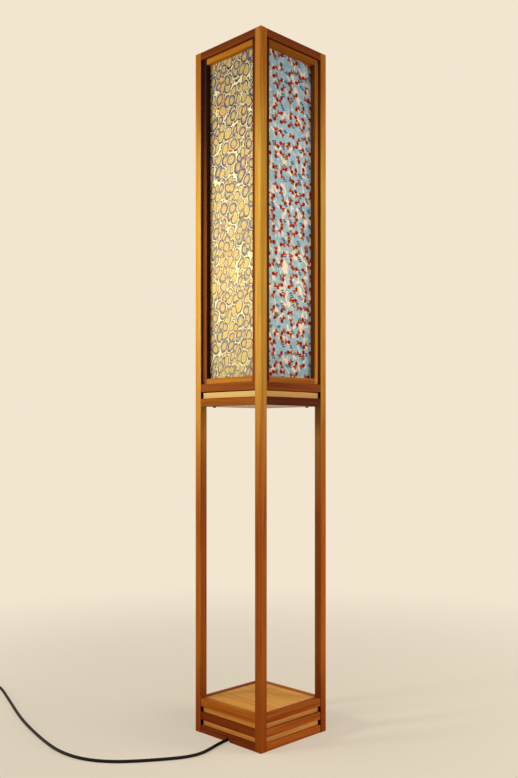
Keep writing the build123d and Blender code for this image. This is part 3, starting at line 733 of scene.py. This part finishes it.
def stoneTone(shader, reach, blueness, tones):
    pale, blue = (
        shader.ramp(reach, [(place, tones[tone]) for place, tone in marbleSpec[rings]])
        for rings in ("paleRings", "blueRings")
    )
    return shader.mix(blueness, pale, blue)


def edgeArc(shader, local, reach, aim, kind, under, tones):
    # a dark line along a part of the stone's edge
    spec = marbleSpec["arc"]
    along = turned(shader, *local, shader.product(aim, 2 * math.pi))[0]
    side = shader.math("DIVIDE", along, shader.vector("LENGTH", shader.join(*local)))
    line = shader.math("ABSOLUTE", shader.remap(reach, *spec["reach"], -1, 1))
    line = shader.ease(shader.math("SUBTRACT", 1.0, line), *spec["line"])
    ink = tones["slate"]
    for tone in ("brown", "rust"):
        ink = shader.mix(shader.math("GREATER_THAN", kind, spec[tone]), ink, tones[tone])
    return shader.mix(shader.product(shader.ease(side, *spec["ends"]), line), under, ink)


def isDrawn(shader, chance, factor, share):
    # 1 for that share of the stones, by a new chance made from one that is in use
    fresh = shader.math("FRACT", shader.product(chance, factor))
    return shader.math("LESS_THAN", fresh, share)


def stoneBed(shader, place, under, tones, spec):
    # stones that press against each other, so their rings follow their neighbours
    jitter, roundness = marbleSpec["jitter"], marbleSpec["roundness"]
    u, v = shader.split(place)[:2]
    u = shader.math("MULTIPLY_ADD", v, -spec["lean"], u)
    across = shader.math("MULTIPLY_ADD", u, 1 / spec["spacing"], spec["shift"])
    grid = shader.join(across, shader.product(v, 1 / (spec["spacing"] * spec["tall"])))
    local, (first, second, third) = shader.cells(grid, jitter)
    out = shader.vector("LENGTH", local)
    toEdge = shader.voronoi(grid, jitter, "DISTANCE_TO_EDGE")["Distance"]
    reach = shader.math("DIVIDE", out, shader.math("ADD", out, toEdge))
    squeezed = shader.math("POWER", shader.math("DIVIDE", reach, spec["edge"]), roundness)
    size = shader.remap(second, 0, 1, *spec["sizes"])
    free = shader.math("POWER", shader.math("DIVIDE", out, size), roundness)
    reach = shader.math("POWER", shader.math("ADD", squeezed, free), 1 / roundness)
    blueFrom, soft = 1 - spec["blueShare"], marbleSpec["blueSoftness"]
    blueness = shader.remap(first, blueFrom - soft, blueFrom + soft)
    stone = stoneTone(shader, reach, blueness, tones)
    stone = edgeArc(shader, shader.split(local)[:2], reach, second, third, stone, tones)
    drawn = isDrawn(shader, third, 31.0, spec["share"])
    haloFrom, haloTo, haloDepth = marbleSpec["halo"]
    inside = shader.product(drawn, shader.remap(reach, 1.0, haloFrom, 1, 0))
    halo = shader.product(drawn, shader.remap(reach, haloFrom, haloTo, haloDepth, 0))
    return shader.mix(inside, shader.mix(halo, under, tones["vein"]), stone)


def stoneEyes(shader, place, under, tones, spec):
    # a few whole round stones with clear rings lie on the bed
    local, (first, second, third) = localPlace(shader, place, spec, marbleSpec["jitter"])
    narrow, long = turned(shader, *local, shader.remap(first, 0, 1, *spec["leans"]))
    narrow = shader.product(narrow, shader.remap(second, 0, 1, *spec["narrower"]))
    size = shader.remap(third, 0, 1, *spec["sizes"])
    reach = shader.math("DIVIDE", shader.vector("LENGTH", shader.join(narrow, long)), size)
    stone = stoneTone(shader, reach, shader.remap(second, 0, 0.5, *spec["blueness"]), tones)
    stone = edgeArc(shader, local, reach, third, second, stone, tones)
    drawn = isDrawn(shader, third, 23.0, spec["share"])
    inside = shader.product(shader.remap(reach, 1.0, spec["rim"], 1, 0), drawn)
    gap = shader.product(shader.remap(reach, spec["rim"], spec["gap"], 1, 0), drawn)
    return shader.mix(inside, shader.mix(gap, under, tones["ground"]), stone)


def patches(shader, place, scale, low, high, depth=1):
    # soft patches, full where the noise is above high and none where it is below low
    return shader.remap(shader.noise(place, scale, 2, flat=True), low, high, 0, depth)


def marbledColour(shader, place, tones, spec):
    for scale, reach in spec["drifts"]:
        place = shader.drift(place, scale, reach)
    tone = shader.mix(patches(shader, place, *spec["clouds"]), tones["ground"], tones["vein"])
    for bed in ("pebbles", "stones"):
        tone = stoneBed(shader, place, tone, tones, spec[bed])
    tone = stoneEyes(shader, place, tone, tones, spec["eyes"])
    tone = shader.mix(patches(shader, place, *spec["worn"]), tone, tones["vein"])
    # painted shade towards the top and painted brightness lower down
    height = shader.split(place)[1]
    for name, (low, high, depth) in spec["ageing"].items():
        tone = shader.mix(shader.ease(height, low, high, 0, depth), tone, tones[name])
    return tone


def blob(shader, u, v, middle, size, angle):
    # how far outside an oval a point is, below 0 inside it, in millimetres
    du, dv = shader.math("SUBTRACT", u, middle[0]), shader.math("SUBTRACT", v, middle[1])
    cosine, sine = math.cos(math.radians(angle)), math.sin(math.radians(angle))
    along = shader.product(shader.math("MULTIPLY_ADD", dv, sine / cosine, du), cosine / size[0])
    across = shader.product(shader.math("MULTIPLY_ADD", du, -sine / cosine, dv), cosine / size[1])
    reach = shader.vector("LENGTH", shader.join(along, across))
    return shader.product(shader.math("SUBTRACT", reach, 1.0), min(size))


def inMillimetres(shader, local, angle, millimetres):
    return [shader.product(axis, millimetres) for axis in turned(shader, *local, angle)]


def goldfishLayer(shader, place, under, tones, spec):
    fish = spec["fish"]
    local, chances = localPlace(shader, place, fish, fish["jitter"])
    heading = shader.product(chances[0], 2 * math.pi)
    u, v = inMillimetres(shader, local, heading, fish["spacing"] * 1000 / fish["scale"])
    bend = shader.remap(chances[1], 0, 1, -fish["bend"], fish["bend"])
    v = shader.math("MULTIPLY_ADD", shader.product(u, u), bend, v)
    side = shader.math("ABSOLUTE", v)
    ovals = [blob(shader, u, side if twin else v, *oval) for *oval, twin in spec["ovals"].values()]
    whole = ovals[0]
    for oval in ovals[1:]:
        whole = shader.math("MINIMUM", whole, oval)
    along = shader.remap(u, *spec["skinEnds"])
    skin = shader.ramp(along, [(stop, tones[name]) for stop, name in spec["skin"]])
    rimFrom, rimTo, rimDepth = spec["rim"]
    skin = shader.mix(shader.remap(whole, rimFrom, rimTo, 0, rimDepth), skin, tones["gold"])
    return shader.mix(shader.remap(whole, *spec["outline"], 1, 0), under, skin)


def rippleLayer(shader, place, under, tones, spec):
    local, (first, second, third) = localPlace(shader, place, spec, spec["jitter"])
    lean = shader.remap(first, 0, 1, *spec["leans"])
    u, v = inMillimetres(shader, local, lean, spec["spacing"] * 1000)
    line = shader.math("ROUND", shader.math("DIVIDE", v, spec["gap"]))
    line = shader.math("MAXIMUM", shader.math("MINIMUM", line, shader.math("ROUND", third)), -1.0)
    offLine = shader.math("ABSOLUTE", shader.math("MULTIPLY_ADD", line, -spec["gap"], v))
    offMiddle = shader.math("ABSOLUTE", shader.math("MULTIPLY_ADD", line, spec["sidestep"], u))
    ends = shader.remap(offMiddle, *spec["ends"], 1, 0)
    dash = shader.product(ends, shader.remap(offLine, *spec["edge"], 1, 0))
    drawn = shader.remap(second, *spec["drawn"], 0, spec["depth"])
    return shader.mix(shader.product(dash, drawn), under, tones["ripple"])


def foamLayer(shader, place, under, tones, spec):
    # pale patches of water, longer than wide and a little slanting
    local = turned(shader, *shader.split(place)[:2], spec["lean"])
    grid = shader.join(*(shader.math("DIVIDE", axis, size) for axis, size in zip(local, spec["size"])))
    patch = shader.noise(grid, 1.0, 2, spec["swirl"], flat=True)
    depth = shader.ease(patch, *spec["limits"], 0, spec["depth"])
    return shader.mix(depth, under, tones["foam"])


def goldfishColour(shader, place, tones, spec):
    tone = shader.mix(patches(shader, place, *spec["clouds"]), tones["water"], tones["deepWater"])
    tone = foamLayer(shader, place, tone, tones, spec["foam"])
    tone = rippleLayer(shader, place, tone, tones, spec["ripples"])
    return goldfishLayer(shader, place, tone, tones, spec)


def makePaper(name, pattern, along, patternSpec):
    spec = paperSpec
    shader = Shader(name)
    x, y, z = shader.split(shader.places())
    place = shader.join(x if along == "X" else y, z)
    tones = {name: colour(*tone) for name, tone in patternSpec["tones"].items()}
    fibres = shader.noise(shader.places(), spec["fibres"], 3)
    tone = pattern(shader, place, tones, patternSpec)
    tone = shader.shade(tone, shader.stretch(fibres, *spec["fibreTones"]))
    normal = shader.bump(fibres, 0.25, spec["fibreDepth"])
    front = shader.surface(tone, spec["roughness"], normal, spec["shine"])
    shader.mixSurfaces(spec["seeThrough"], front, shader.add("ShaderNodeBsdfTranslucent", tone))
    return shader.owner


def joinRows(form, rows, closed=False):
    # smooth faces between rows of points
    for row, following in zip(rows, rows[1:]):
        for index in range(len(row) if closed else len(row) - 1):
            after = (index + 1) % len(row)
            face = form.faces.new((row[index], row[after], following[after], following[index]))
            face.smooth = True


def addPiece(name, form, material, slot, *replaced):
    # a finished mesh that stands for one or more solids of the lamp's body
    data = bpy.data.meshes.new(name)
    form.to_mesh(data)
    form.free()
    data.materials.append(material)
    piece = addObject(name, data)
    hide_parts(*replaced)
    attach(piece, "lamp")
    return piece


def makeSheet(side, spec, material, slot):
    # edges flat behind the strips, a little slack between them
    node = "panel_paper_" + side
    low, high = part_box(node)
    flatAxis = 1 if side in sidePairs["X"] else 0
    acrossAxis = 1 - flatAxis
    wide, tall = high[acrossAxis] - low[acrossAxis], high[2] - low[2]
    outward = 1 if low[flatAxis] > 0 else -1
    outer = high[flatAxis] if outward > 0 else low[flatAxis]
    acrossCells, upCells = spec["cells"]
    form = bmesh.new()
    rows = []
    for upStep in range(upCells + 1):
        up = upStep / upCells
        row = []
        for acrossStep in range(acrossCells + 1):
            share = acrossStep / acrossCells
            slack = math.sin(math.pi * share) * math.sin(math.pi * up) ** 0.5
            wave = math.sin(spec["waves"][1] * up + spec["waves"][0] * share)
            slack *= 1 - spec["waveShare"] + spec["waveShare"] * wave
            place = [0, 0, low[2] + tall * up]
            place[acrossAxis] = low[acrossAxis] + wide * share
            place[flatAxis] = outer - outward * (spec["inset"] + spec["slack"] * slack)
            row.append(form.verts.new(place))
        rows.append(row)
    joinRows(form, rows)
    form.normal_update()
    form.faces.ensure_lookup_table()
    if form.faces[0].normal[flatAxis] * outward < 0:
        bmesh.ops.reverse_faces(form, faces=form.faces)
    piece = addPiece(side + "Paper", form, material, slot, node)


for name, slot, pattern, patternSpec, along in (
    ("marbledPaper", "marbled_paper", marbledColour, marbleSpec, "X"),
    ("goldfishPaper", "goldfish_paper", goldfishColour, goldfishSpec, "Y"),
):
    paper = makePaper(name, pattern, along, patternSpec)
    for side in sidePairs[along]:
        makeSheet(side, paperSpec, paper, slot)
print("papers done")


# plastics, metals and the bulb

usualPlain = {"grain": 900, "depth": 0.00008, "mottle": 0.9, "spread": (-0.05, 0.07), "shine": 0.5}
plainSpec = {
    "coverBoard": {"pieces": ["under_cover"], "tone": (236, 220, 196), "roughness": 0.55, "grain": 300},
    "blackScrew": {"pieces": ["cover_screws"], "tone": (22, 22, 22), "roughness": 0.4},
    "stemEnamel": {"pieces": ["lamp_stem"], "tone": (40, 38, 36), "roughness": 0.4},
    "holderPlastic": {"pieces": ["lamp_holder"], "tone": (232, 228, 218), "roughness": 0.35},
    "blackPlastic": {
        "pieces": ["switch_case", "plug_body", "lead_clips"],
        "tone": (26, 25, 25), "roughness": 0.48, "grain": 1600,
    },
    "rockerPlastic": {"pieces": ["switch_rocker"], "tone": (30, 29, 29), "roughness": 0.3, "grain": 1600},
    "gripRubber": {"pieces": ["cord_grip"], "tone": (28, 27, 27), "roughness": 0.62},
    "cordJacket": {
        "pieces": ["inner_lead"], "tone": (26, 17, 12), "roughness": 0.6, "grain": 1100, "shine": 0.15,
    },
}
usualMetal = {"grain": 1400, "tones": (0.9, 1.03), "depth": 0.00004, "spread": (-0.06, 0.08)}
metalSpec = {
    "zincPlate": {
        "pieces": ["flange_screws"], "tone": (190, 190, 186), "roughness": 0.32, "scratch": (1, 1, 1),
    },
    "bulbCapMetal": {
        "pieces": ["bulb_cap"], "tone": (206, 204, 196), "roughness": 0.3, "scratch": (1, 1, 6),
    },
    "bladeBrass": {
        "pieces": ["plug_blades"], "tone": (206, 178, 110), "roughness": 0.28, "scratch": (0.1, 1, 1),
    },
}
bulbSpec = {
    "glass": (250, 244, 230),
    "clouds": 60,
    "cloudTones": (0.96, 1.0),
    "roughness": (0.16, 0.26),
    "glow": (255, 220, 166),
    "strength": 8.0,
}


def makePlain(name, spec):
    shader = Shader(name)
    speckle = shader.noise(shader.places(), spec["grain"], 2)
    patch = shader.noise(shader.places(), spec["grain"] / 30, 2)
    darker = [spec["mottle"] * channel for channel in spec["tone"]]
    tone = shader.mix(patch, colour(*spec["tone"]), colour(*darker))
    roughness = shader.stretch(speckle, *(spec["roughness"] + change for change in spec["spread"]))
    normal = shader.bump(speckle, 0.3, spec["depth"])
    shader.surface(tone, roughness, normal, spec["shine"])
    return shader.owner


def makeMetal(name, spec):
    shader = Shader(name)
    fine = shader.noise(shader.vector("MULTIPLY", shader.places(), spec["scratch"]), spec["grain"], 2)
    roughness = shader.stretch(fine, *(spec["roughness"] + change for change in spec["spread"]))
    worn = shader.shade(colour(*spec["tone"]), shader.stretch(fine, *spec["tones"]))
    shader.surface(worn, roughness, shader.bump(fine, 0.15, spec["depth"]), Metallic=1.0)
    return shader.owner


def makeBulbGlass(spec):
    shader = Shader("opalGlass")
    cloud = shader.noise(shader.places(), spec["clouds"], 2)
    tone = shader.shade(colour(*spec["glass"]), shader.stretch(cloud, *spec["cloudTones"]))
    glow = {"Emission_Color": colour(*spec["glow"]), "Emission_Strength": spec["strength"]}
    shader.surface(tone, shader.stretch(cloud, *spec["roughness"]), **glow)
    return shader.owner


for name, spec in plainSpec.items():
    dress(spec["pieces"], makePlain(name, {**usualPlain, **spec}))
for name, spec in metalSpec.items():
    dress(spec["pieces"], makeMetal(name, {**usualMetal, **spec}))
dress(["bulb_glass"], makeBulbGlass(bulbSpec))
for piece in (supplyCord, plugCord):
    piece.data.materials.append(bpy.data.materials["cordJacket"])
print("fittings done")


# the coil's tie: a woven hook-and-loop strap, its end lapped over its start

tieSpec = {
    "angle": 40.0,
    "middle": (0.03565, 0.0075),  # from the coil's axis and above the floor
    "inside": (0.0104, 0.0067),  # half its width and height
    "squareness": 1 / 3,  # 1 makes the loop an oval, less squares it
    "startTurn": 150.0,
    "lap": 92.0,
    "liftOver": (290.0, 345.0),
    "lift": 0.78,  # in millimetres, over its own start
    "steps": 112,
    # outline of the strap in millimetres: across it, and out from its inner face
    "outline": (
        (-5.7, 0.0), (5.7, 0.0), (6.0, 0.25), (6.0, 0.5), (5.7, 0.74), (5.1, 0.74), (4.8, 0.6), (4.5, 0.74),
        (-4.5, 0.74), (-4.8, 0.6), (-5.1, 0.74), (-5.7, 0.74), (-6.0, 0.5), (-6.0, 0.25),
    ),
    "tone": (34, 34, 36),
    "roughness": 0.85,
    "thread": 0.0011,
    "threadTones": (0.72, 1.2),
    "fluff": 2600,
    "fluffTones": (0.88, 1.1),
    "depth": 0.00015,
    "sheen": 0.25,
}


def makeTieWeave(spec):
    shader = Shader("tieWeave")
    turn = math.radians(spec["angle"])
    x, y, z = shader.split(shader.places())
    radial = shader.math("MULTIPLY_ADD", x, math.cos(turn), shader.product(y, math.sin(turn)))
    across = shader.math("MULTIPLY_ADD", x, math.sin(turn), shader.product(y, -math.cos(turn)))
    pitch = 2 * math.pi / spec["thread"]
    warp = shader.math("SINE", shader.product(across, pitch))
    weft = shader.math("SINE", shader.product(shader.math("ADD", radial, z), pitch))
    weave = shader.product(warp, weft)
    fluff = shader.noise(shader.places(), spec["fluff"], 2)
    cloth = shader.shade(colour(*spec["tone"]), shader.remap(weave, -1, 1, *spec["threadTones"]))
    cloth = shader.shade(cloth, shader.stretch(fluff, *spec["fluffTones"]))
    height = shader.math("MULTIPLY_ADD", fluff, 0.4, weave)
    normal = shader.bump(height, 0.5, spec["depth"])
    shader.surface(cloth, spec["roughness"], normal, Sheen_Weight=spec["sheen"])
    return shader.owner


def makeTie(spec):
    angle = math.radians(spec["angle"])
    centreX, centreY = cordSpec["coilCentre"]
    liftFrom, liftTo = spec["liftOver"]
    form = bmesh.new()
    rings = []
    for step in range(spec["steps"] + 1):
        passed = (360 + spec["lap"]) * step / spec["steps"]
        turn = math.radians(spec["startTurn"] - passed)
        lift = easeStep(passed, (liftFrom + liftTo) / 2, liftTo - liftFrom)
        ring = []
        for across, out in spec["outline"]:
            grow = (out + spec["lift"] * lift) / 1000
            sides = []
            for half, wave in zip(spec["inside"], (math.cos(turn), math.sin(turn))):
                sides.append((half + grow) * math.copysign(abs(wave) ** spec["squareness"], wave))
            radial = spec["middle"][0] + sides[0]
            across = across / 1000
            ring.append(form.verts.new((
                centreX + radial * math.cos(angle) + across * math.sin(angle),
                centreY + radial * math.sin(angle) - across * math.cos(angle),
                spec["middle"][1] + sides[1],
            )))
        rings.append(ring)
    joinRows(form, rings, closed=True)
    form.faces.new(rings[0])
    form.faces.new(reversed(rings[-1]))
    bmesh.ops.recalc_face_normals(form, faces=form.faces)
    addPiece("tieBand", form, makeTieWeave(spec), "tie_fabric", "coil_tie")


makeTie(tieSpec)
print("tie done")


# floor, world and lights: the pale floor runs out into the pale background

stageSpec = {
    "floor": (238, 229, 213),
    "roughness": 0.8,
    "shine": 0.1,
    "background": (243, 230, 208),
    "reach": 7.0,
    "fade": (0.15, 2.0),  # metres from the lamp
    "nearShare": 0.35,  # of the background's own brightness that the floor has at the lamp
    "ambient": (255, 247, 238),
    "ambientStrength": 0.14,
}


def makeFloor(spec):
    data = bpy.data.meshes.new("floorPlane")
    reach = spec["reach"]
    corners = [(-reach, -reach, 0), (reach, -reach, 0), (reach, reach, 0), (-reach, reach, 0)]
    data.from_pydata(corners, [], [(0, 1, 2, 3)])
    floor = addObject("floorPlane", data)
    shader = Shader("floorPaint")
    paint = shader.surface(colour(*spec["floor"]), spec["roughness"], shine=spec["shine"])
    far = shader.add("ShaderNodeEmission", colour(*spec["background"]))
    distance = shader.vector("LENGTH", shader.places())
    faded = shader.ease(distance, *spec["fade"], spec["nearShare"], 1)
    seenDirectly = shader.add("ShaderNodeLightPath").outputs["Is Camera Ray"]
    shader.mixSurfaces(shader.product(faded, seenDirectly), paint, far)
    data.materials.append(shader.owner)


def makeWorld(spec):
    shader = Shader("studioWorld", "World")
    rays = shader.add("ShaderNodeLightPath").outputs
    seenDirectly = rays["Is Camera Ray"]
    for kind in ("Is Glossy Ray", "Is Transmission Ray"):
        seenDirectly = shader.math("MAXIMUM", seenDirectly, rays[kind])
    ambient = shader.add("ShaderNodeBackground", colour(*spec["ambient"]), spec["ambientStrength"])
    background = shader.add("ShaderNodeBackground", colour(*spec["background"]), 1)
    shader.mixSurfaces(seenDirectly, ambient, background)
    bpy.context.scene.world = shader.owner


# sizes in metres, power in watts, spread in degrees
lightSpec = {
    "keyLight": {
        "place": (-0.72, -1.60, 1.15), "aim": (0, 0, 1.02), "size": 0.3,
        "power": 4.95, "spread": 80, "tone": (251, 255, 226),
    },
    "fillLight": {
        "place": (2.35, 1.65, 0.9), "aim": (0, 0, 0.55), "size": 1.2,
        "power": 18.5, "spread": 110, "tone": (255, 244, 228),
    },
    "lowLight": {
        "place": (-1.7, -1.5, 0.5), "aim": (0, 0, 0.2), "size": 1.0,
        "power": 7, "spread": 120, "tone": (255, 246, 236),
    },
    "topLight": {
        "place": (0.2, -0.2, 3.4), "aim": (0, 0, 0), "size": 1.6,
        "power": 44, "spread": 180, "tone": (255, 250, 244),
    },
}
glowSpec = {"heights": (0.87, 1.01, 1.15, 1.29), "radius": 0.03, "power": 0.26, "tone": (255, 238, 212)}


def addLight(name, kind, spec, place):
    # one light of either kind, still without its size
    data = bpy.data.lights.new(name, kind)
    data.energy = spec["power"]
    data.color = colour(*spec["tone"])[:3]
    light = addObject(name, data)
    light.location = place
    return light


def makeLights(lights):
    for name, spec in lights.items():
        light = addLight(name, "AREA", spec, spec["place"])
        light.data.shape = "SQUARE"
        light.data.size = spec["size"]
        light.data.spread = math.radians(spec["spread"])
        heading = Vector(spec["aim"]) - Vector(spec["place"])
        light.rotation_euler = heading.to_track_quat("-Z", "Y").to_euler()


def makeGlow(spec):
    # stands for the light that goes to and fro between the papers
    for index, height in enumerate(spec["heights"]):
        light = addLight(f"shadeGlow{index}", "POINT", spec, (0, 0, height))
        light.data.shadow_soft_size = spec["radius"]


makeFloor(stageSpec)
makeWorld(stageSpec)
makeLights(lightSpec)
makeGlow(glowSpec)
bpy.context.scene.view_settings.view_transform = "Standard"
print("stage done")
